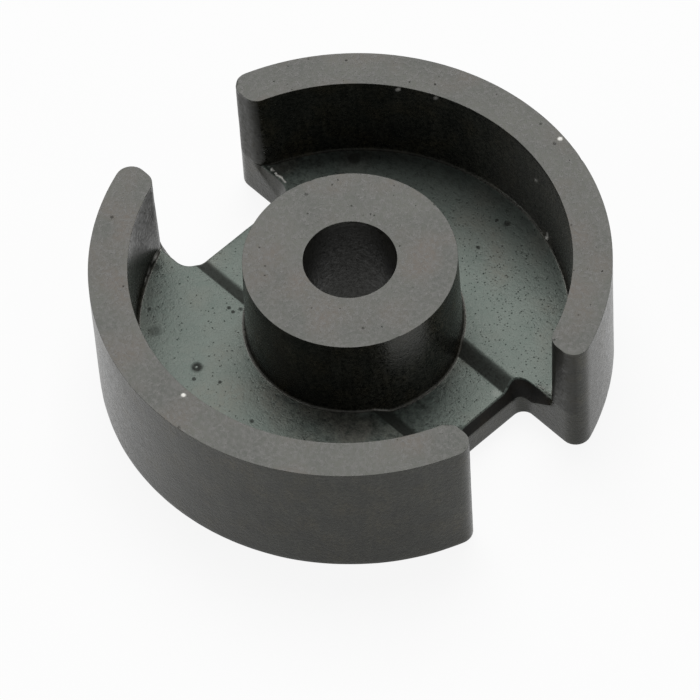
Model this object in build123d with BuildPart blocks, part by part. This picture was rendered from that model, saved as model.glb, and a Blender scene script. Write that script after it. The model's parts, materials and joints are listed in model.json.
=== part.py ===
# Half of a round ferrite pot core, 18 mm across: base, ring wall, centre post, bore and two wire slots.
# It is one pressed and sintered solid, which stands on its flat base with the mating faces up.
# Frame: origin at the centre of the bore on the underside, +Z towards the mating faces, slots along X.
import os
from math import atan, cos, degrees, radians, tan

from build123d import *

os.makedirs("parts", exist_ok=True)

# Driving dimensions, in millimetres and degrees
height = 5.35  # underside to the mating faces
winding_depth = 3.6  # mating faces down to the winding floor
outer_diameter = 18.0
winding_diameter = 15.27  # outside of the winding space, at the mating face
post_diameter = 7.41  # centre post, at the mating face
bore_diameter = 3.24  # straight through, for the adjuster or a clamping screw
wall_draft = 1.2  # lean of the wall and of the post, so that the punch leaves them
foot_radius = 0.12  # where the wall and the post rise from the winding floor
base_edge_radius = 0.12  # all round the underside
slot_width = 4.66  # the two wire slots, through the wall and the base
slot_floor_distance = 5.92  # bore axis to the flat bottom of each slot
slot_corner_radius = 0.42  # in the base, beside that flat bottom
wall_end_outer_radius = 0.55  # outer corners of the four wall ends
wall_end_inner_radius = 0.55  # inner corners of the four wall ends
wall_end_share = 0.42  # of the wall's thickness, the most that each of those two corners may take
channel_width = 4.44  # shallow run for the wires from each slot to the post, at the winding floor
channel_depth = 0.3
channel_side_slope = 50  # steepest slope of the channel's sides, between two equal arcs
relief_width = 0.26  # the slot's faces in the base lean back by this much up to the winding floor
relief_depth = 0.78

# Levels and radii that follow from them
floor_level = height - winding_depth
channel_level = floor_level - channel_depth
outer_radius = outer_diameter / 2
wall_thickness = outer_radius - winding_diameter / 2
outer_end_radius = min(wall_end_outer_radius, wall_end_share * wall_thickness)
inner_end_radius = min(wall_end_inner_radius, wall_end_share * wall_thickness)
overrun = outer_diameter / 10  # how far a cutting profile runs past the body
slot_reach = outer_radius + overrun - slot_floor_distance
channel_side_radius = channel_depth / (2 - 2 * cos(radians(channel_side_slope)))


def wall_radius(level):
    return winding_diameter / 2 - (height - level) * tan(radians(wall_draft))


def post_radius(level):
    return post_diameter / 2 + (height - level) * tan(radians(wall_draft))


# Half section of the winding space down to a given level, with sharp corners at its foot
def winding_section(bottom):
    top = height + overrun
    with BuildSketch(Plane.XZ) as section:
        with BuildLine():
            Polyline(
                (post_radius(top), top),
                (post_radius(bottom), bottom),
                (wall_radius(bottom), bottom),
                (wall_radius(top), top),
                close=True,
            )
        make_face()
    return section.sketch


# The same section with the corners at its foot rounded
def rounded_section(bottom):
    with BuildSketch(Plane.XZ) as section:
        add(winding_section(bottom))
        fillet(section.vertices().group_by(Axis.Y)[0], foot_radius)
    return section.sketch


# Plan of the two slots, with the rounded corners at their inner ends
with BuildSketch(Plane.XY) as slot_plan:
    with PolarLocations(slot_floor_distance + slot_reach / 2, 2):
        Rectangle(slot_reach, slot_width)
    fillet(slot_plan.vertices().filter_by(lambda v: abs(v.X) < outer_radius), slot_corner_radius)

# Rounded foot of the wall and the post, which stops where the corners of the wall ends begin
with BuildPart() as winding_foot:
    with BuildSketch(Plane.XZ):
        add(winding_section(floor_level))
        add(rounded_section(floor_level), mode=Mode.SUBTRACT)
    revolve(axis=Axis.Z)
    with BuildSketch(Plane.XY.offset(floor_level)):
        with PolarLocations(slot_floor_distance + slot_reach / 2, 2):
            Rectangle(slot_reach, slot_width + 2 * inner_end_radius)
    extrude(amount=winding_depth, mode=Mode.SUBTRACT)

# Wire channel: the winding space taken deeper, within one trough across the floor
with BuildPart() as wire_channel:
    add(rounded_section(channel_level))
    revolve(axis=Axis.Z)
    with BuildSketch(Plane.YZ):
        with BuildLine():
            opening = Polyline(
                (0, floor_level + 2 * foot_radius),
                (channel_width / 2, floor_level + 2 * foot_radius),
                (channel_width / 2, floor_level),
            )
            brow = JernArc(opening @ 1, (-1, 0), channel_side_radius, channel_side_slope)
            hollow = JernArc(brow @ 1, brow % 1, channel_side_radius, -channel_side_slope)
            Line(hollow @ 1, (0, channel_level))
            mirror(about=Plane.YZ)
        make_face()
    extrude(amount=outer_radius, both=True, mode=Mode.INTERSECT)

# Relief at the top of the slots' faces in the base, as far out as the foot of the wall
with BuildPart() as slot_relief:
    with BuildSketch(Plane.XY.offset(floor_level - relief_depth)):
        add(slot_plan.sketch)
    extrude(amount=relief_depth, taper=-degrees(atan(relief_width / relief_depth)))
    with BuildSketch(Plane.XY):
        Circle(wall_radius(floor_level) - foot_radius)
    extrude(amount=floor_level, mode=Mode.INTERSECT)

# The core half
with BuildPart() as core_half:
    Cylinder(outer_radius, height, align=(Align.CENTER, Align.CENTER, Align.MIN))
    add(winding_section(floor_level))
    revolve(axis=Axis.Z, mode=Mode.SUBTRACT)
    add(slot_plan.sketch)
    extrude(amount=height, mode=Mode.SUBTRACT)
    outer_corners = core_half.edges().filter_by(Axis.Z).group_by(SortBy.LENGTH)[-1]
    fillet(outer_corners, outer_end_radius)
    winding_edges = core_half.faces().filter_by(GeomType.CONE).edges()
    rims_and_seams = winding_edges.filter_by(GeomType.CIRCLE) + winding_edges.filter_by(GeomType.LINE)
    fillet(winding_edges - rims_and_seams, inner_end_radius)
    underside = core_half.faces().sort_by(Axis.Z)[0]
    fillet(underside.outer_wire().edges(), base_edge_radius)
    add(winding_foot.part)
    add(wire_channel.part, mode=Mode.SUBTRACT)
    add(slot_relief.part, mode=Mode.SUBTRACT)
    with Locations((0, 0, height)):
        Hole(bore_diameter / 2)

core_half.part.label = "core_half"
export_step(core_half.part, "parts/core_half.step")
print("core_half", round(core_half.part.volume, 2), "mm3, valid", core_half.part.is_valid)
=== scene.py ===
import json
import math

import bmesh
import bpy
import numpy as np
from mathutils import Matrix, Vector, noise
from mathutils.geometry import delaunay_2d_cdt
from mathutils.kdtree import KDTree


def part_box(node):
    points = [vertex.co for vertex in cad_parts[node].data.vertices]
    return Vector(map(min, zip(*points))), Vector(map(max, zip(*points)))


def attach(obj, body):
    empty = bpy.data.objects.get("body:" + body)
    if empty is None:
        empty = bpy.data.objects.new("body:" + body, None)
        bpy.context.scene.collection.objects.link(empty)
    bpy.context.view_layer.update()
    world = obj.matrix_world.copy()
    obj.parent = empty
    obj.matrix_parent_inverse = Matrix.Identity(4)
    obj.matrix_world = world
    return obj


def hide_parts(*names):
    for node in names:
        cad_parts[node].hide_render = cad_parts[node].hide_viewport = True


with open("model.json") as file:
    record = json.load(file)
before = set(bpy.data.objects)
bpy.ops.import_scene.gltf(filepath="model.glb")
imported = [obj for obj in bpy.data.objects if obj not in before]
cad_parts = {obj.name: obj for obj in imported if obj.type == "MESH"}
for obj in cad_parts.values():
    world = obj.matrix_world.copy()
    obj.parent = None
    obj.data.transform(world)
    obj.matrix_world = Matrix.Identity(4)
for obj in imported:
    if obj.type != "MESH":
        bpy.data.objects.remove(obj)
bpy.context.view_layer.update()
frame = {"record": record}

scene = bpy.context.scene
mm = 0.001
low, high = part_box("core_half")
mounts = {mount["name"]: mount for mount in frame["record"]["mounts"]}
print("frame loaded, core measures", [round(side / mm, 2) for side in high - low], "mm")

# The core half. It is meshed in millimetres and shrunk to metres at the end.
core = {
    "height": (high.z - low.z) / mm,
    "outerRadius": (high.y - low.y) / 2 / mm,
    "boreRadius": mounts["adjuster_bore"]["dims"]["r_mm"],
    "floorLevel": mounts["coil_former_seat"]["pos_m"][2] / mm,
    "postRadius": 3.705,  # at the ground face
    "windingRadius": 7.635,  # at the ground face
    "draft": 1.2,  # degrees
    "footRadius": 0.12,
    "baseEdge": 0.05,
    "slotHalfWidth": 2.33,
    "slotBottom": 5.92,
    "slotCorner": 0.42,
    "wallEndRadius": 0.55,
    "channelHalfWidth": 2.22,
    "channelDepth": 0.3,
    "channelSlope": 30.5,  # degrees
    "channelArcs": (0.40, 0.10),  # radii at the side's two edges, the one nearest +Y first
    "reliefWidth": 0.26,
    "reliefDepth": 0.78,
    "sideReliefs": {  # share of the width, depth by the slot's corner, depth by the wall
        "+Y": (0.42, 1.0, 0.3),
        "-Y": (0.9, 0.78, 0.4),
    },
    "rimRadius": 0.09,  # along the upper edge of the slots
    "edgeBreak": 0.009,  # along the ground edges, before the chips
    "boreEdge": 0.03,  # at the underside
    "postSides": 160,
    "boreSides": 96,
    "boreRows": 20,
    "meshStep": 0.14,
    "weld": 0.0004,
    "waviness": 0.012,  # how far firing pulled the upright faces about
    "wavinessSeed": 1,  # the same pull in every run
    "tones": {  # painted shade below zero and painted highlights above zero, by place, in the same tone as the marks below
        "channelSidesShade": -0.85,
        "bore": -0.6,
        "postRootHighlight": 0.10,
        "wallFootHighlight": 0.16,
        "farFloorShade": -0.42,
        "wallEndsShade": -0.45,
        "farWallPaintedLight": 0.10,
    },
    # Marks on the level faces: x, y, radius, how far sunk, tone (-1 is dark, 1 is white dust)
    "faceMarks": [
        (-7.2, -4.46, 0.06, 0.015, -0.55),
        (1.5, 8.42, 0.05, 0.015, -0.5),
        (1.5, 8.70, 0.085, -0.012, 1.2),
        (0.05, -7.88, 0.08, -0.015, 1.4),
        (0.9, -8.9, 0.05, 0.010, -0.4),
        (0.55, 8.7, 0.05, 0.010, -0.5),
        (-3.1, 0.9, 0.06, 0.010, -0.5),
        (2.4, -1.7, 0.05, 0.010, -0.5),
    ],
    "floorMarks": [
        (-2.49, -5.16, 0.19, 0.030, -1.3),  # a little crater with a paler middle
        (-2.51, -5.17, 0.06, -0.020, 1.5),
        (-5.10, 4.95, 0.22, 0.020, -1.4),
        (-6.66, -3.22, 0.16, 0.010, -0.60),
        (-4.70, -5.15, 0.24, 0.010, -0.40),
        (-5.50, -4.63, 0.06, 0.020, -0.8),
        (-3.53, -2.65, 0.06, 0.020, -1.0),
        (-3.30, -2.67, 0.06, 0.020, -1.0),
        (-3.20, -2.40, 0.07, 0.020, -0.7),
        (-2.20, -5.58, 0.06, 0.020, -0.9),
        (-1.46, -5.04, 0.06, 0.020, -0.9),
        (0.52, -5.40, 0.07, 0.020, -0.8),
        (0.83, 6.68, 0.12, 0.020, -0.7),
        (0.46, 6.54, 0.06, 0.020, -0.7),
        (0.82, 5.24, 0.07, 0.020, -0.9),
        (2.27, 7.20, 0.06, -0.020, 1.2),
        (5.70, -0.45, 0.12, 0.030, -0.5),
        (5.55, 1.42, 0.16, 0.0, 0.10),
    ],
    # Thin burrs that the die left on the floor: from, to, width, rise, and the tone of a painted glint
    # along each crest
    "burrsWithGlints": [
        ((-6.98, 2.57), (-6.10, 2.51), 0.045, 0.070, 2.20),
        ((6.50, 2.50), (7.15, 2.52), 0.030, 0.025, 0.35),
        ((-7.14, -2.60), (-6.90, -3.16), 0.050, 0.045, 2.60),
        ((-6.90, -3.16), (-6.42, -4.02), 0.030, 0.010, 0.70),
    ],
    # Stains and dust on the upright faces, and one broad painted shade: x, y, z, radius, tone
    "stainsAndShade": [
        (-2.95, 7.05, 5.15, 0.07, 0.9),
        (-4.20, 6.38, 5.22, 0.07, 1.3),
        (1.55, 7.44, 4.16, 0.07, 0.7),
        (7.99, 2.33, 4.32, 0.09, 0.5),
        (8.55, 2.52, 0.75, 0.30, -0.25),
        (-8.45, 2.50, 4.88, 0.20, -1.1),
        # painted shade on the -Y wall by the -X slot
        (-6.75, -3.60, 4.30, 1.60, -0.34),
    ],
    # Small chips along the ground edges: x, y, reach along the edge, size
    "chips": [
        (-8.35, 2.55, 0.16, 0.09),
        (7.3, -2.5, 0.22, 0.06),
        (2.6, 8.6, 0.14, 0.05),
        (-2.2, -7.2, 0.15, 0.04),
        (3.5, -1.2, 0.14, 0.04),
        (-3.4, 1.4, 0.12, 0.03),
    ],
}
groundSlot, floorSlot, wallSlot, mattShadeSlot = 0, 1, 2, 3
footRows, sideRows = 5, 24  # up the walls, the post and the bore
edgeRows, baseRows, reliefRows, rimRows = 5, 7, 9, 4  # up the side of the base
meetSteps = 6  # round the end of a wall, up to where the slot's relief meets it
outerEndSteps, innerEndSteps, flatSteps = 9, 5, 3  # along the rest of a wall's end
slotSteps = 14  # along half of a slot's bottom, and again round its corner


def fadeBetween(value, start, end):
    t = min(1.0, max(0.0, (value - start) / (end - start)))
    return t * t * (3 - 2 * t)


def blendTo(a, b, t):
    return a + (b - a) * t


def lean(level):
    return (core["height"] - level) * math.tan(math.radians(core["draft"]))


def wallRadiusAt(level):
    return core["windingRadius"] - lean(level)


def postRadiusAt(level):
    return core["postRadius"] + lean(level)


# A run is a row of plan points, each with the direction that its surface faces: x, y, nx, ny
def arcRun(centre, radius, start, end, count, facing=1):
    run = []
    for i in range(count + 1):
        a = blendTo(start, end, i / count)
        run.append((centre[0] + radius * math.cos(a), centre[1] + radius * math.sin(a),
                    facing * math.cos(a), facing * math.sin(a)))
    return run


def turned(run):  # half a turn about the bore, to the other wall
    return [(-x, -y, -nx, -ny) for x, y, nx, ny in run]


# Plan of a wall as it lies on the +Y side: its outer run and its inner run, which meet where the
# slot's relief ends on the round ends of the wall
def wallPlan(level, meet):
    end, outer, inner = core["wallEndRadius"], core["outerRadius"], wallRadiusAt(level)
    centreY = core["slotHalfWidth"] + end
    outerX = math.sqrt((outer - end) ** 2 - centreY ** 2)
    innerX = math.sqrt((inner + end) ** 2 - centreY ** 2)
    outerAngle, innerAngle = math.atan2(centreY, outerX), math.atan2(centreY, innerX)
    face, arcs = core["slotHalfWidth"], int(outer * math.pi * 0.8 / core["meshStep"])
    shares = [i / flatSteps for i in range(flatSteps + 1)]
    rightFlat = [(blendTo(innerX, outerX, share), face, 0, -1) for share in shares[:-1]]
    leftFlat = [(blendTo(-outerX, -innerX, share), face, 0, -1) for share in shares[1:]]
    outerRun = (arcRun((innerX, centreY), end, 1.5 * math.pi - meet, 1.5 * math.pi, meetSteps)[:-1]
                + rightFlat
                + arcRun((outerX, centreY), end, -math.pi / 2, outerAngle, outerEndSteps)
                + arcRun((0, 0), outer, outerAngle, math.pi - outerAngle, arcs)[1:]
                + arcRun((-outerX, centreY), end, math.pi - outerAngle, 1.5 * math.pi, outerEndSteps)[1:]
                + leftFlat
                + arcRun((-innerX, centreY), end, -math.pi / 2, meet - math.pi / 2, meetSteps)[1:])
    innerRun = (arcRun((-innerX, centreY), end, meet - math.pi / 2, -innerAngle, innerEndSteps)
                + arcRun((0, 0), inner, math.pi - innerAngle, innerAngle, arcs, -1)[1:]
                + arcRun((innerX, centreY), end, math.pi + innerAngle, 1.5 * math.pi - meet,
                         innerEndSteps)[1:])
    return outerRun, innerRun


# Each side of the wire channel slopes straight between two arcs
def channelSideWidth():
    slope, arcs = math.radians(core["channelSlope"]), sum(core["channelArcs"])
    straight = (core["channelDepth"] - arcs * (1 - math.cos(slope))) / math.sin(slope)
    return arcs * math.sin(slope) + straight * math.cos(slope)


# How far the winding floor drops at a distance y from the middle of the wire channel
def channelDrop(y):
    upper, lower = core["channelArcs"] if y > 0 else reversed(core["channelArcs"])
    slope, width = math.radians(core["channelSlope"]), channelSideWidth()
    into = min(width, max(0.0, core["channelHalfWidth"] - abs(y)))
    left = width - into
    if into < upper * math.sin(slope):
        return upper - math.sqrt(upper ** 2 - into ** 2)
    if left < lower * math.sin(slope):
        return core["channelDepth"] - lower + math.sqrt(lower ** 2 - left ** 2)
    return upper * (1 - math.cos(slope)) + (into - upper * math.sin(slope)) * math.tan(slope)


def channelRows():  # lines along the channel's sides, as distances from the middle
    width = channelSideWidth()
    shares = [0, 0.04, 0.08, 0.14, 0.24, 0.36, 0.5, 0.64, 0.76, 0.86, 0.92, 0.96, 1]
    return [core["channelHalfWidth"] - width * share for share in shares]


def burrAt(x, y, start, end, width):  # 1 along the crest of a ragged burr, and 0 away from it
    along = Vector(end) - Vector(start)
    share = (Vector((x, y)) - Vector(start)).dot(along) / along.length_squared
    nearest = Vector(start) + along * min(1.0, max(0.0, share))
    if math.dist((x, y), nearest) > 4 * width:
        return 0.0
    across = (along.x * (y - nearest.y) - along.y * (x - nearest.x)) / along.length
    across -= 1.1 * width * noise.noise((x * 5, y * 5, 1.0))
    beyond = math.dist((x, y), nearest) if share < 0 or share > 1 else 0.0
    ragged = 0.55 + 1.5 * noise.noise((x * 8, y * 8, 2.0))
    return max(0.1, ragged) * math.exp(-(across ** 2 + beyond ** 2) / width ** 2)


def sunkBy(marks, x, y):
    sunk = 0.0
    for cx, cy, radius, depth, _ in marks:
        away = math.hypot(x - cx, y - cy) / radius
        if away < 2.2:
            sunk += depth * math.exp(-1.2 * away ** 3)
    return sunk


def floorAt(x, y):
    level = core["floorLevel"] - channelDrop(y) - sunkBy(core["floorMarks"], x, y)
    for start, end, width, rise, _ in core["burrsWithGlints"]:
        level += rise * burrAt(x, y, start, end, width)
    return level


def groundAt(x, y):
    return core["height"] - sunkBy(core["faceMarks"], x, y)


def rimReach(y):  # from the foot of the slot's face back to the edge of the floor
    rise = core["reliefDepth"] - channelDrop(y) - core["rimRadius"]
    return core["reliefWidth"] * rise / core["reliefDepth"] + core["rimRadius"]


def meetAngle(wall):  # how far round the end of a wall the slot's relief reaches
    reach = core["sideReliefs"][wall][0] * rimReach(core["slotHalfWidth"])
    return math.acos(1 - reach / core["wallEndRadius"])


# Half of a slot through the base, from the middle of its bottom to the wall. Each point has its
# place at the foot, the direction that it faces, and the reach and the depth of its relief.
def halfSlot(wall):
    corner, half, bottom = core["slotCorner"], core["slotHalfWidth"], core["slotBottom"]
    share, cornerDepth, wallDepth = core["sideReliefs"][wall]
    centreX, centreY = bottom + corner, half - corner
    meet = meetAngle(wall)
    endX = wallPlan(core["floorLevel"], meet)[0][0][0]
    points = []
    middle = [centreY * i / slotSteps for i in range(9)]  # the channel's own rows follow beyond these
    for y in sorted(middle + [row for row in channelRows() if row < centreY]):
        points.append((bottom, y, 1, 0, rimReach(y), core["reliefDepth"]))
    for i in range(slotSteps + 1):
        a, blend = math.pi / 2 * i / slotSteps, fadeBetween(i, 3, slotSteps)
        y = centreY + corner * math.sin(a)
        reach = rimReach(y + 0.25 * math.sin(a)) * blendTo(1, share, blend)
        points.append((centreX - corner * math.cos(a), y, math.cos(a), -math.sin(a), reach,
                       blendTo(core["reliefDepth"], cornerDepth, blend)))
    count = int((endX - centreX) / (core["meshStep"] * 0.6))
    for i in range(1, count + 1):
        points.append((blendTo(centreX, endX, i / count), half, 0, -1, share * rimReach(half),
                       blendTo(cornerDepth, wallDepth, i / count)))
    return points


def slotRun(side):  # one whole slot, towards +X or -X
    first, last = ("-Y", "+Y") if side > 0 else ("+Y", "-Y")
    run = [(x, -y, nx, -ny, reach, depth) for x, y, nx, ny, reach, depth in reversed(halfSlot(first))][:-1]
    return [(side * x, side * y, side * nx, side * ny, reach, depth)
            for x, y, nx, ny, reach, depth in run + halfSlot(last)]


def wallFootRun(wall):  # the foot of a wall on the base's side, as it lies on the +Y side
    outer = wallPlan(core["floorLevel"], meetAngle(wall))[0]
    face, wallDepth = core["slotHalfWidth"], core["sideReliefs"][wall][2]
    run = []
    for i, (x, y, nx, ny) in enumerate(outer):
        if min(i, len(outer) - 1 - i) < meetSteps:
            depth = wallDepth * (1 - 0.8 * min(i, len(outer) - 1 - i) / meetSteps)
            run.append((x, face, 0, -1, y - face, depth))
        else:
            run.append((x, y, nx, ny, 0.0, wallDepth))
    return run


def edgeBreak(x, y):
    size = core["edgeBreak"] * (1 + 0.35 * noise.noise((x * 2.3, y * 2.3, 4.0)))
    size += 0.010 * max(0.0, noise.noise((x * 6.1, y * 6.1, 9.0)) - 0.15)
    for cx, cy, reach, depth in core["chips"]:
        away = math.hypot(x - cx, y - cy) / reach
        if away < 1.6:
            size += depth * math.exp(-2.5 * away * away)
    return size


class Shell:  # the growing mesh: points, faces and the slot of each face
    def __init__(self):
        self.points, self.faces, self.slots = [], [], []

    def addPoints(self, points):
        start = len(self.points)
        self.points.extend(points)
        return range(start, start + len(points))

    # columns run up and follow each other to the left, and slots holds the slot of each row of faces
    def addStrip(self, columns, slots, closed=False):
        rows = [self.addPoints(column) for column in columns]
        count = len(rows)
        for i in range(count if closed else count - 1):
            a, b = rows[i], rows[(i + 1) % count]
            for j, slot in enumerate(slots):
                self.faces.append((a[j], b[j], b[j + 1], a[j + 1]))
                self.slots.append(slot)

    def addField(self, loops, heightAt, spacing, slot, inner=(), facing=1):
        loops = [[tuple(Vector(point)) for point in loop] for loop in loops]  # rounded as the mesh will be
        rim = [point for loop in loops for point in loop]
        edges, start = [], 0
        for loop in loops:
            edges += [(start + i, start + (i + 1) % len(loop)) for i in range(len(loop))]
            start += len(loop)
        tree = KDTree(len(rim))
        for i, (x, y) in enumerate(rim):
            tree.insert((x, y, 0), i)
        tree.balance()
        inner = evenPoints(rim, spacing, inner) + list(inner)
        inner = [(x, y) for x, y, room in inner if tree.find((x, y, 0))[2] > room]
        inside = insideLoops(np.array(inner), loops)
        inner = [point for point, within in zip(inner, inside) if within]
        flat = [Vector(point) for point in rim + inner]
        found, _, faces, *_ = delaunay_2d_cdt(flat, edges, [], 0, 1e-6)
        centres = np.array([[sum(found[i][k] for i in face) / 3 for k in (0, 1)] for face in faces])
        keep = insideLoops(centres, loops)
        ids = self.addPoints([(p.x, p.y, heightAt(p.x, p.y)) for p in found])
        for face, within in zip(faces, keep):
            if within:
                order = face if facing > 0 else reversed(face)
                self.faces.append(tuple(ids[i] for i in order))
                self.slots.append(slot)


# Even-odd test of many points against closed loops
def insideLoops(points, loops):
    inside = np.zeros(len(points), bool)
    px, py = points[:, 0], points[:, 1]
    for loop in loops:
        ring = np.array(loop)
        for (ax, ay), (bx, by) in zip(ring, np.roll(ring, -1, axis=0)):
            if ay != by:
                crosses = ((ay > py) != (by > py)) & (px < (bx - ax) * (py - ay) / (by - ay) + ax)
                inside ^= crosses
    return inside


# An even grid of points with the room that each needs, which leaves out where there are closer ones
def evenPoints(rim, spacing, closer):
    xs, ys = [x for x, _ in rim], [y for _, y in rim]
    taken = KDTree(len(closer))
    for i, (x, y, _) in enumerate(closer):
        taken.insert((x, y, 0), i)
    taken.balance()
    points, line, y = [], 0, min(ys)
    while y < max(ys):
        x = min(xs) + (line % 2) * spacing / 2
        while x < max(xs):
            if not closer or taken.find((x, y, 0))[2] > 0.45 * spacing:
                points.append((x, y, 0.45 * spacing))
            x += spacing
        y += spacing * math.sqrt(3) / 2
        line += 1
    return points


def markPoints(marks):  # rings of closer points, which give each mark its shape
    points = []
    for cx, cy, radius, *_ in marks:
        points.append((cx, cy, 0.02))
        for ring in range(1, 9):
            reach, steps = radius * 1.9 * ring / 8, 6 * min(ring, 5)
            for i in range(steps):
                a = 2 * math.pi * (i + 0.5 * (ring % 2)) / steps
                points.append((cx + reach * math.cos(a), cy + reach * math.sin(a), 0.02))
    return points


def burrPoints():
    points = []
    for start, end, width, *_ in core["burrsWithGlints"]:
        along = Vector(end) - Vector(start)
        across = Vector((-along.y, along.x)).normalized() * width
        count = int(along.length / 0.035)
        for i in range(-2, count + 3):
            for step in (-2, -1.2, -0.5, 0, 0.5, 1.2, 2):
                point = Vector(start) + along * (i / count) + across * step
                points.append((point.x, point.y, 0.012))
    return points


def channelPoints():
    points, spacing = [], core["meshStep"] * 0.6
    for row in channelRows():
        for i in range(int(2 * core["windingRadius"] / spacing)):
            for y in (-row, row):
                points.append((i * spacing - core["windingRadius"], y, 0.03))
    return points


# Columns of points that climb a side: a foot that curves in, the side itself and a broken top edge
def climb(planRow, foot, levelAt):
    x, y, nx, ny = planRow[0]
    footLevel = levelAt(x + nx * foot, y + ny * foot)
    x, y, nx, ny = planRow[-1]
    size = edgeBreak(x, y)
    topLevel = groundAt(x - nx * size, y - ny * size)
    x, y, nx, ny = planRow[0]
    column = []
    if foot > 0:
        for i in range(footRows):
            a = math.pi / 2 * i / footRows
            out = foot * (1 - math.sin(a))
            column.append((x + nx * out, y + ny * out, footLevel + foot * (1 - math.cos(a))))
    last = len(planRow) - 1
    for i, (x, y, nx, ny) in enumerate(planRow):
        column.append((x, y, blendTo(footLevel + foot, topLevel - size, i / last)))
    column.append((x - nx * size * 0.3, y - ny * size * 0.3, topLevel - size * 0.3))
    column.append((x - nx * size, y - ny * size, topLevel))
    return column


# One column of the base's side: the rounded lower edge, the side with its relief, the rounded rim
def baseColumn(x, y, nx, ny, reach, depth):
    edge, column = core["baseEdge"], []
    top = floorAt(x - nx * reach, y - ny * reach)
    rim = min(core["rimRadius"], 0.35 * reach)
    fold = core["floorLevel"] - depth
    for i in range(edgeRows):
        a = math.pi / 2 * i / edgeRows
        column.append((x - nx * edge * (1 - math.sin(a)), y - ny * edge * (1 - math.sin(a)),
                       edge * (1 - math.cos(a))))
    for i in range(baseRows):
        column.append((x, y, blendTo(edge, fold, i / baseRows)))
    for i in range(reliefRows):
        share = i / (reliefRows - 1)
        out = (reach - rim) * share
        column.append((x - nx * out, y - ny * out, blendTo(fold, top - rim, share)))
    for i in range(1, rimRows + 1):
        a = math.pi / 2 * i / rimRows
        out = reach - rim * math.cos(a)
        column.append((x - nx * out, y - ny * out, top - rim + rim * math.sin(a)))
    return column


def rimOf(columns, row):
    return [column[row][:2] for column in columns]


def distinct(points, reach=1e-5):
    kept = []
    for point in points:
        if not kept or math.dist(point, kept[-1]) > reach:
            kept.append(point)
    if math.dist(kept[0], kept[-1]) <= reach:
        kept.pop()
    return kept


def sideSlots(column, slot):  # the faces of the broken edge at the top count as ground
    return [slot] * (len(column) - 3) + [groundSlot] * 2


def buildWall(shell, wall):
    levels = [blendTo(core["floorLevel"], core["height"], i / sideRows) for i in range(sideRows + 1)]
    plans = [wallPlan(level, meetAngle(wall)) for level in levels]
    if wall == "-Y":
        plans = [(turned(outer), turned(inner)) for outer, inner in plans]
    outer = [climb(row, 0, floorAt) for row in zip(*[plan[0] for plan in plans])]
    innerRows = list(zip(*[plan[1] for plan in plans]))
    inner = []
    for i, row in enumerate(innerRows):
        foot = core["footRadius"] * max(fadeBetween(min(i, len(innerRows) - 1 - i), 0, 9), 1e-7)
        inner.append(climb(row, foot, floorAt))
    shell.addStrip(outer, sideSlots(outer[0], wallSlot))
    shell.addStrip(inner, sideSlots(inner[0], wallSlot))
    shell.addField([distinct(rimOf(outer, -1) + rimOf(inner, -1))], groundAt, core["meshStep"],
                   groundSlot, markPoints(core["faceMarks"]))
    print("wall meshed:", len(shell.faces), "faces")
    return rimOf(inner, 0)


def buildPost(shell):
    floor, top, foot = core["floorLevel"], core["height"], core["footRadius"]
    footRadius = postRadiusAt(floor) + foot
    sides = core["postSides"]
    angles = {round(2 * math.pi * i / sides, 9) for i in range(sides)}
    for row in channelRows():
        a = math.asin(row / footRadius)
        angles |= {round(turn, 9) for turn in (a, math.pi - a, math.pi + a, 2 * math.pi - a)}
    postColumns = []
    for a in sorted(angles):
        c, s = math.cos(a), math.sin(a)
        radii = [postRadiusAt(blendTo(floor, top, i / sideRows)) for i in range(sideRows + 1)]
        postColumns.append(climb([(radius * c, radius * s, c, s) for radius in radii], foot, floorAt))
    shell.addStrip(postColumns, sideSlots(postColumns[0], wallSlot), closed=True)
    boreColumns = []
    radius, edge = core["boreRadius"], core["boreEdge"]
    for i in range(core["boreSides"]):
        a = -2 * math.pi * i / core["boreSides"]
        c, s = math.cos(a), math.sin(a)
        column = climb([(radius * c, radius * s, -c, -s)] * core["boreRows"], 0, lambda x, y: edge)
        boreColumns.append([(c * (radius + edge), s * (radius + edge), 0)] + column)
    shell.addStrip(boreColumns, sideSlots(boreColumns[0], wallSlot), closed=True)
    shell.addField([rimOf(postColumns, -1), rimOf(boreColumns, -1)], groundAt, core["meshStep"],
                   groundSlot, markPoints(core["faceMarks"]))
    print("post and bore meshed:", len(shell.faces), "faces")
    return rimOf(postColumns, 0), rimOf(boreColumns, 0)


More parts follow.
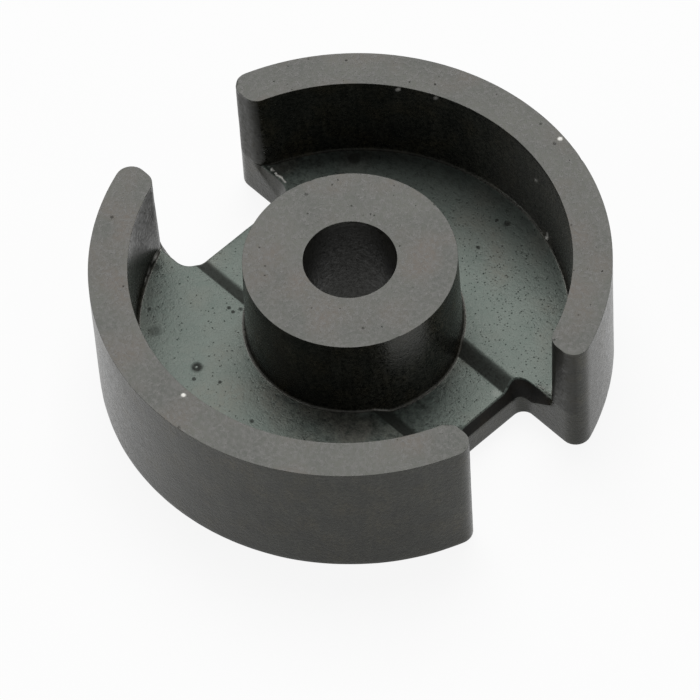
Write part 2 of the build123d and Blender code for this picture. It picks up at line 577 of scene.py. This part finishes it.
def buildCoreShell():
    shell = Shell()
    innerFeet = {wall: buildWall(shell, wall) for wall in ("+Y", "-Y")}
    postFoot, boreFoot = buildPost(shell)

    # the side of the base, all round, where the relief of one slot is matt, with its darker colour painted
    # shade
    wallRuns = {"+Y": wallFootRun("+Y"),
                "-Y": [(-x, -y, -nx, -ny, *relief) for x, y, nx, ny, *relief in wallFootRun("-Y")]}
    slotRuns = {side: slotRun(side) for side in (-1, 1)}
    lower, upper = edgeRows + baseRows, rimRows - 1  # rows of faces under and over the relief's
    plainSide = [wallSlot] * (lower + reliefRows + upper)
    cleanSlot = [wallSlot] * (lower + reliefRows) + [floorSlot] * upper
    mattShadedSlot = [wallSlot] * lower + [mattShadeSlot] * reliefRows + [floorSlot] * upper
    for run, slots in ((wallRuns["+Y"], plainSide), (slotRuns[-1], cleanSlot),
                       (wallRuns["-Y"], plainSide), (slotRuns[1], mattShadedSlot)):
        shell.addStrip([baseColumn(*point) for point in run], slots)
    around = wallRuns["+Y"] + slotRuns[-1][1:] + wallRuns["-Y"][1:] + slotRuns[1][1:-1]

    # the winding floor, between the walls, the post and the slots, and the underside
    slotTop = {side: rimOf([baseColumn(*point) for point in slotRuns[side]], -1) for side in (1, -1)}
    floorRim = distinct(slotTop[1] + innerFeet["+Y"][::-1] + slotTop[-1] + innerFeet["-Y"][::-1])
    closer = markPoints(core["floorMarks"]) + burrPoints() + channelPoints()
    shell.addField([floorRim, postFoot], floorAt, core["meshStep"], floorSlot, closer)
    baseFoot = rimOf([baseColumn(*point) for point in around], 0)
    shell.addField([distinct(baseFoot), boreFoot], lambda x, y: 0.0, core["meshStep"] * 3,
                   wallSlot, facing=-1)
    print("base, floor and underside meshed:", len(shell.faces), "faces")
    return shell


# Firing leaves the upright faces a little uneven, while the ground faces and the underside stay flat
def firedPlace(place):
    x, y, z = place
    hold = core["waviness"] * fadeBetween(core["height"] - z, 0.02, 0.5)
    pull = noise.noise_vector((x * 0.55, y * 0.55, z * 0.4 + 3))
    pull += 0.35 * noise.noise_vector((x * 2, y * 2, z * 1.5))
    return Vector((x + pull.x * hold, y + pull.y * hold, z))


def toneOf(strength, away):  # a mark's tone, at a distance counted in its radii
    return strength * math.exp(-1.2 * away ** 4) if away < 2.2 else 0.0


def toneAt(place):
    x, y, z = place
    tones, fromAxis = core["tones"], math.hypot(x, y)
    overFloor = z - core["floorLevel"]
    upright = z < core["height"] - 0.05  # clear of the ground faces
    tone = 0.0
    if abs(z - floorAt(x, y)) < 0.002:  # painted shade on the channel's sides, darkest where they are steepest
        steep = abs(channelDrop(y + 0.01) - channelDrop(y - 0.01)) / 0.02
        tone += tones["channelSidesShade"] * min(1.0, 1.3 * steep / math.tan(math.radians(core["channelSlope"])))
    for level, marks in ((core["height"], core["faceMarks"]), (core["floorLevel"], core["floorMarks"])):
        if abs(z - level) < 0.35:
            for cx, cy, radius, _, strength in marks:
                tone += toneOf(strength, math.hypot(x - cx, y - cy) / radius)
    # the burrs' pale tone is a painted glint along their crests
    if abs(overFloor) < 0.12:
        for start, end, width, _, strength in core["burrsWithGlints"]:
            tone += strength * burrAt(x, y, start, end, width)
    # painted shade down the bore
    if upright and fromAxis < core["boreRadius"] + 0.01:
        tone += tones["bore"]
    # a painted highlight in a thin ring round the post's root
    rootAway = fromAxis - postRadiusAt(core["floorLevel"]) - 0.6 * core["footRadius"]
    if abs(rootAway) < 0.045 and -0.4 < overFloor < core["footRadius"]:
        tone += tones["postRootHighlight"]
    # a painted highlight in a thin line along the foot of the +Y wall
    footAway = fromAxis - wallRadiusAt(core["floorLevel"]) + 0.8 * core["footRadius"]
    if abs(footAway) < 0.025 and abs(overFloor) < 0.06 and y > core["slotHalfWidth"]:
        tone += tones["wallFootHighlight"]
    # painted light on the inner side of the +Y wall, paler towards +X
    if upright and overFloor > 0.05 and abs(fromAxis - core["windingRadius"]) < 0.15 and y > 0:
        tone += tones["farWallPaintedLight"] * fadeBetween(math.degrees(math.atan2(y, x)), 108, 63)
    # painted shade on the floor towards the far, +Y side
    if fromAxis < core["windingRadius"] + 0.05 and -0.4 < overFloor < 0.02:
        tone += tones["farFloorShade"] * fadeBetween(y - 0.3 * x, 3, 7)
    # painted shade on the ends of the walls beside the slots
    if upright and overFloor > 0 and abs(y) < core["slotHalfWidth"] + 0.35 * core["wallEndRadius"]:
        tone += tones["wallEndsShade"] * fadeBetween(fromAxis, 7.0, 7.4)
    # stains and dust, and one broad painted shade
    if upright:
        for cx, cy, cz, radius, strength in core["stainsAndShade"]:
            tone += toneOf(strength, math.dist((x, y, z), (cx, cy, cz)) / radius)
    return tone


def makeCoreHalf():
    shell = buildCoreShell()
    mesh = bpy.data.meshes.new("coreHalf")
    mesh.from_pydata(shell.points, [], shell.faces)
    mesh.polygons.foreach_set("material_index", shell.slots)
    work = bmesh.new()
    work.from_mesh(mesh)
    bmesh.ops.remove_doubles(work, verts=work.verts, dist=core["weld"])
    loose = [vert for vert in work.verts if not vert.link_faces]
    bmesh.ops.delete(work, geom=loose, context="VERTS")
    bmesh.ops.recalc_face_normals(work, faces=work.faces)
    openEdges = [edge for edge in work.edges if len(edge.link_faces) != 2]
    print("core welded:", len(work.verts), "points,", len(openEdges), "open edges,",
          round(work.calc_volume(), 1), "mm3")
    toneLayer = work.verts.layers.float.new("tone")
    noise.seed_set(core["wavinessSeed"])
    for vert in work.verts:
        vert[toneLayer] = toneAt(vert.co)
        vert.co = firedPlace(vert.co)
    work.to_mesh(mesh)
    work.free()
    mesh.transform(Matrix.Scale(mm, 4))
    for polygon in mesh.polygons:
        polygon.use_smooth = True
    mesh.set_sharp_from_angle(angle=math.radians(20))
    piece = bpy.data.objects.new("coreHalf", mesh)
    scene.collection.objects.link(piece)
    return piece


coreHalf = makeCoreHalf()
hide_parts("core_half")
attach(coreHalf, "root")

# Ferrite finishes, where the darker colours of the wall and matt ones are partly painted shade. Scales are
# in features per millimetre, bumps in millimetres.
finish = {
    "ground": {"dark": (0.038, 0.041, 0.036), "light": (0.053, 0.055, 0.047), "tint": (0.060, 0.051, 0.043),
               "sheen": (1.0, 0.985, 0.945), "blotch": 0.55, "grain": 6.5, "grainShade": 1.0,
               "roughness": 0.45, "roughVary": 0.15, "index": 1.48, "bump": 0.017, "streaks": 0.0,
               "pores": 0.04, "poreScale": 7.0},
    "floor": {"dark": (0.040, 0.052, 0.046), "light": (0.062, 0.073, 0.065), "tint": (0.068, 0.064, 0.054),
              "sheen": (0.88, 1.0, 0.90), "blotch": 0.6, "grain": 6.0, "grainShade": 0.9,
              "roughness": 0.45, "roughVary": 0.08, "index": 1.565, "bump": 0.020, "streaks": 0.0,
              "pores": 0.55, "poreScale": 10.0},
    # the die-drawn finish of the upright faces: its smoothness and streaks are the die's own, and its
    # colour, darker than the floor and ground finishes, is partly painted shade
    "wall": {"dark": (0.014, 0.014, 0.012), "light": (0.024, 0.024, 0.019), "tint": (0.027, 0.024, 0.016),
             "sheen": (0.98, 1.0, 0.91), "blotch": 1.1, "grain": 7.0, "grainShade": 0.9,
             "roughness": 0.28, "roughVary": 0.08, "index": 1.40, "bump": 0.013, "streaks": 0.25,
             "pores": 0.08, "poreScale": 7.0},
    # the matt relief of the +X slot: its roughness is a finish, its darker colour painted shade
    "matt": {"dark": (0.008, 0.008, 0.007), "light": (0.014, 0.014, 0.013), "tint": (0.020, 0.016, 0.011),
             "sheen": (1.0, 0.98, 0.94), "blotch": 0.9, "grain": 9.0, "grainShade": 0.5,
             "roughness": 0.6, "roughVary": 0.08, "index": 1.24, "bump": 0.010, "streaks": 0.0,
             "pores": 0.2, "poreScale": 6.0},
    # the dust colour also draws painted highlights, and the pit colour under it also draws painted shade
    "dustAndPaintedHighlight": (0.75, 0.74, 0.70),
    "pitAndPaintedShade": (0.008, 0.007, 0.006),
}


def addNode(tree, kind, links=None, **settings):
    node = tree.nodes.new(kind)
    for name, value in settings.items():
        setattr(node, name, value)
    for socket, source in (links or {}).items():
        if isinstance(source, bpy.types.NodeSocket):
            tree.links.new(source, node.inputs[socket])
        else:
            node.inputs[socket].default_value = source
    return node


def mixColours(tree, factor, first, second, blend="MIX"):
    node = addNode(tree, "ShaderNodeMix", {0: factor}, data_type="RGBA", blend_type=blend)
    for socket, colour in ((6, first), (7, second)):
        if isinstance(colour, bpy.types.NodeSocket):
            tree.links.new(colour, node.inputs[socket])
        else:
            node.inputs[socket].default_value = (*colour, 1)
    return node.outputs[2]


def mapRange(tree, value, low, high, toLow=0.0, toHigh=1.0):
    return addNode(tree, "ShaderNodeMapRange", {"Value": value, "From Min": low, "From Max": high,
                                                "To Min": toLow, "To Max": toHigh}).outputs["Result"]


def combine(tree, operation, first, second):
    return addNode(tree, "ShaderNodeMath", {0: first, 1: second}, operation=operation).outputs[0]


def mapped(tree, place, setting, value):
    return addNode(tree, "ShaderNodeMapping", {"Vector": place, setting: value}).outputs["Vector"]


def noiseAt(tree, place, scale, detail, roughness=0.5):
    return addNode(tree, "ShaderNodeTexNoise", {"Vector": place, "Scale": scale, "Detail": detail,
                                                "Roughness": roughness}).outputs["Fac"]


def shadeBy(tree, colour, value, amount):  # lighter and darker around the colour as written
    shade = mapRange(tree, value, 0.3, 0.7, 1 - amount, 1 + amount)
    return mixColours(tree, 1.0, colour, shade, "MULTIPLY")


def addPores(tree, place, look):  # small uneven pits in some cells of a scatter, more of them towards +Y
    shift = addNode(tree, "ShaderNodeTexNoise", {"Vector": place, "Scale": look["poreScale"] * 2.5})
    bend = {0: shift.outputs["Color"], 1: (0.07, 0.07, 0.07), 2: place}
    bent = addNode(tree, "ShaderNodeVectorMath", bend, operation="MULTIPLY_ADD").outputs[0]
    cells = addNode(tree, "ShaderNodeTexVoronoi", {"Vector": bent, "Scale": look["poreScale"]})
    cellValues = addNode(tree, "ShaderNodeSeparateColor", {"Color": cells.outputs["Color"]})
    size = mapRange(tree, cellValues.outputs["Green"], 0, 1, 0.14, 0.32)
    inside = mapRange(tree, cells.outputs["Distance"], size, 0.06)
    across = addNode(tree, "ShaderNodeSeparateXYZ", {"Vector": place}).outputs["Y"]
    share = mapRange(tree, across, -5, 5, 0.2 * look["pores"], look["pores"])
    chosen = combine(tree, "LESS_THAN", cellValues.outputs["Red"], share)
    return combine(tree, "MULTIPLY", inside, chosen)


def makeFerrite(name, look):
    material = bpy.data.materials.new(name)
    material.use_nodes = True
    tree = material.node_tree
    shader = tree.nodes["Principled BSDF"]
    place = addNode(tree, "ShaderNodeTexCoord").outputs["Object"]
    inMm = mapped(tree, place, "Scale", (1000, 1000, 1000))
    blotches = noiseAt(tree, inMm, look["blotch"], 3.0)
    tints = noiseAt(tree, mapped(tree, inMm, "Location", (7, 3, 5)), look["blotch"] * 0.9, 2.0)
    grain = noiseAt(tree, inMm, look["grain"], 2.0, 0.8)
    colour = mixColours(tree, mapRange(tree, blotches, 0.34, 0.66), look["dark"], look["light"])
    colour = mixColours(tree, mapRange(tree, tints, 0.48, 0.70), colour, look["tint"])
    colour = shadeBy(tree, colour, grain, look["grainShade"])
    if look["streaks"]:  # the die draws faint lines up the sides
        drawn = mapped(tree, place, "Scale", (4000, 4000, 350))
        colour = shadeBy(tree, colour, noiseAt(tree, drawn, 1.0, 2.0), look["streaks"])
    pores = addPores(tree, inMm, look)
    colour = mixColours(tree, combine(tree, "MULTIPLY", pores, 0.5), colour, finish["pitAndPaintedShade"])
    # the tone carries real marks, dust and stains, and also painted shade and painted highlights: below
    # zero it darkens towards the pit colour, above zero it pales towards the dust colour
    tone = addNode(tree, "ShaderNodeAttribute", attribute_name="tone").outputs["Fac"]
    tone = combine(tree, "MULTIPLY", tone, mapRange(tree, grain, 0.3, 0.7, 0.75, 1.25))
    colour = mixColours(tree, mapRange(tree, tone, 0, -1), colour, finish["pitAndPaintedShade"])
    colour = mixColours(tree, mapRange(tree, tone, 0, 1), colour, finish["dustAndPaintedHighlight"])
    tree.links.new(colour, shader.inputs["Base Color"])
    shader.inputs["IOR"].default_value = look["index"]
    shader.inputs["Specular Tint"].default_value = (*look["sheen"], 1)
    rough = mapRange(tree, grain, 0.3, 0.7, look["roughness"] - look["roughVary"],
                     look["roughness"] + look["roughVary"])
    rough = combine(tree, "ADD", rough, mapRange(tree, tone, 0, -1, 0, 0.35))
    rough = combine(tree, "ADD", rough, combine(tree, "MULTIPLY", pores, 0.15))
    tree.links.new(rough, shader.inputs["Roughness"])
    height = combine(tree, "SUBTRACT", grain, pores)
    bump = addNode(tree, "ShaderNodeBump",
                   {"Height": height, "Strength": 1.0, "Distance": look["bump"] * mm})
    tree.links.new(bump.outputs["Normal"], shader.inputs["Normal"])
    return material


for slotName, title in (("ground", "ferriteGround"), ("floor", "ferritePressedFloor"),
                        ("wall", "ferriteDieWallPaintedShade"), ("matt", "ferriteMattPaintedShade")):
    coreHalf.data.materials.append(makeFerrite(title, finish[slotName]))
print("ferrite finishes made")

# The studio: a pale table, soft light from above and behind, and weaker light from the sides
studio = {
    "tableSize": 1.6,
    "tableDrop": 0.00002,  # keeps the table clear of the underside
    "tableColour": (0.80, 0.80, 0.80),
    "tableGlow": 0.90,  # how white the table looks, where its shadow may still show
    "tableGloss": 0.76,  # the same in what the ferrite reflects
    "worldStrength": 0.15,
    "worldGloss": 0.08,
    "lamps": {  # azimuth and elevation as seen from the core, distance, width, watts
        "back": (229, 61, 0.50, 0.37, 2.45),
        "right": (120, 25, 0.30, 0.12, 0.10),
        "left": (-40, 25, 0.30, 0.12, 0.13),
    },
}
view = {"azimuth": 49.21, "elevation": 54.37, "roll": -4.05, "distance": 0.21946, "lens": 323.07,
        "aside": 0.000217, "above": -0.00001}


def towards(azimuth, elevation):
    a, e = math.radians(azimuth), math.radians(elevation)
    return Vector((math.sin(a) * math.cos(e), -math.cos(a) * math.cos(e), math.sin(e)))


# How much white the camera sees, and how much the shiny faces reflect, in place of the surface itself
def whiteShare(tree, seen, reflected):
    rays = addNode(tree, "ShaderNodeLightPath").outputs
    shiny = combine(tree, "MAXIMUM", rays["Is Glossy Ray"], rays["Is Transmission Ray"])
    return combine(tree, "MAXIMUM", combine(tree, "MULTIPLY", rays["Is Camera Ray"], seen),
                   combine(tree, "MULTIPLY", shiny, reflected))


def makeTable():
    mesh = bpy.data.meshes.new("table")
    half, level = studio["tableSize"] / 2, -studio["tableDrop"]
    corners = [(-half, -half, level), (half, -half, level), (half, half, level), (-half, half, level)]
    mesh.from_pydata(corners, [], [(0, 1, 2, 3)])
    table = bpy.data.objects.new("table", mesh)
    scene.collection.objects.link(table)
    material = bpy.data.materials.new("paleTable")
    material.use_nodes = True
    tree = material.node_tree
    tree.nodes.remove(tree.nodes["Principled BSDF"])
    plain = addNode(tree, "ShaderNodeBsdfDiffuse", {"Color": (*studio["tableColour"], 1)})
    white = addNode(tree, "ShaderNodeEmission", {"Color": (1, 1, 1, 1), "Strength": 1.0})
    share = whiteShare(tree, studio["tableGlow"], studio["tableGloss"])
    mixed = addNode(tree, "ShaderNodeMixShader", {0: share, 1: plain.outputs[0], 2: white.outputs[0]})
    tree.links.new(mixed.outputs[0], tree.nodes["Material Output"].inputs["Surface"])
    mesh.materials.append(material)


def makeWorld():
    world = bpy.data.worlds.new("studio")
    world.use_nodes = True
    scene.world = world
    tree = world.node_tree
    plain = tree.nodes["Background"]
    plain.inputs["Color"].default_value = (1, 1, 1, 1)
    plain.inputs["Strength"].default_value = studio["worldStrength"]
    white = addNode(tree, "ShaderNodeBackground", {"Color": (1, 1, 1, 1), "Strength": 1.0})
    share = whiteShare(tree, 1.0, studio["worldGloss"])
    mixed = addNode(tree, "ShaderNodeMixShader", {0: share, 1: plain.outputs[0], 2: white.outputs[0]})
    tree.links.new(mixed.outputs[0], tree.nodes["World Output"].inputs["Surface"])


def makeLamps():
    for name, (azimuth, elevation, distance, width, watts) in studio["lamps"].items():
        light = bpy.data.lights.new(name, "AREA")
        light.size, light.energy = width, watts
        lamp = bpy.data.objects.new(name, light)
        direction = towards(azimuth, elevation)
        lamp.location = direction * distance
        lamp.rotation_euler = direction.to_track_quat("Z", "Y").to_euler()
        scene.collection.objects.link(lamp)


def makeCamera():
    back = towards(view["azimuth"], view["elevation"])
    right = Vector((0, 0, 1)).cross(back).normalized()
    up = back.cross(right)
    turn = math.radians(view["roll"])
    rolledRight = right * math.cos(turn) + up * math.sin(turn)
    rolledUp = up * math.cos(turn) - right * math.sin(turn)
    lens = bpy.data.cameras.new("camera")
    lens.lens, lens.sensor_width, lens.clip_start = view["lens"], 36, 0.01
    camera = bpy.data.objects.new("camera", lens)
    camera.matrix_world = Matrix((rolledRight, rolledUp, back)).transposed().to_4x4()
    camera.location = back * view["distance"] - rolledRight * view["aside"] - rolledUp * view["above"]
    scene.collection.objects.link(camera)
    return camera


makeTable()
makeWorld()
makeLamps()
bpy.context.scene.camera = makeCamera()
scene.view_settings.view_transform = "Standard"
print("studio and camera ready")
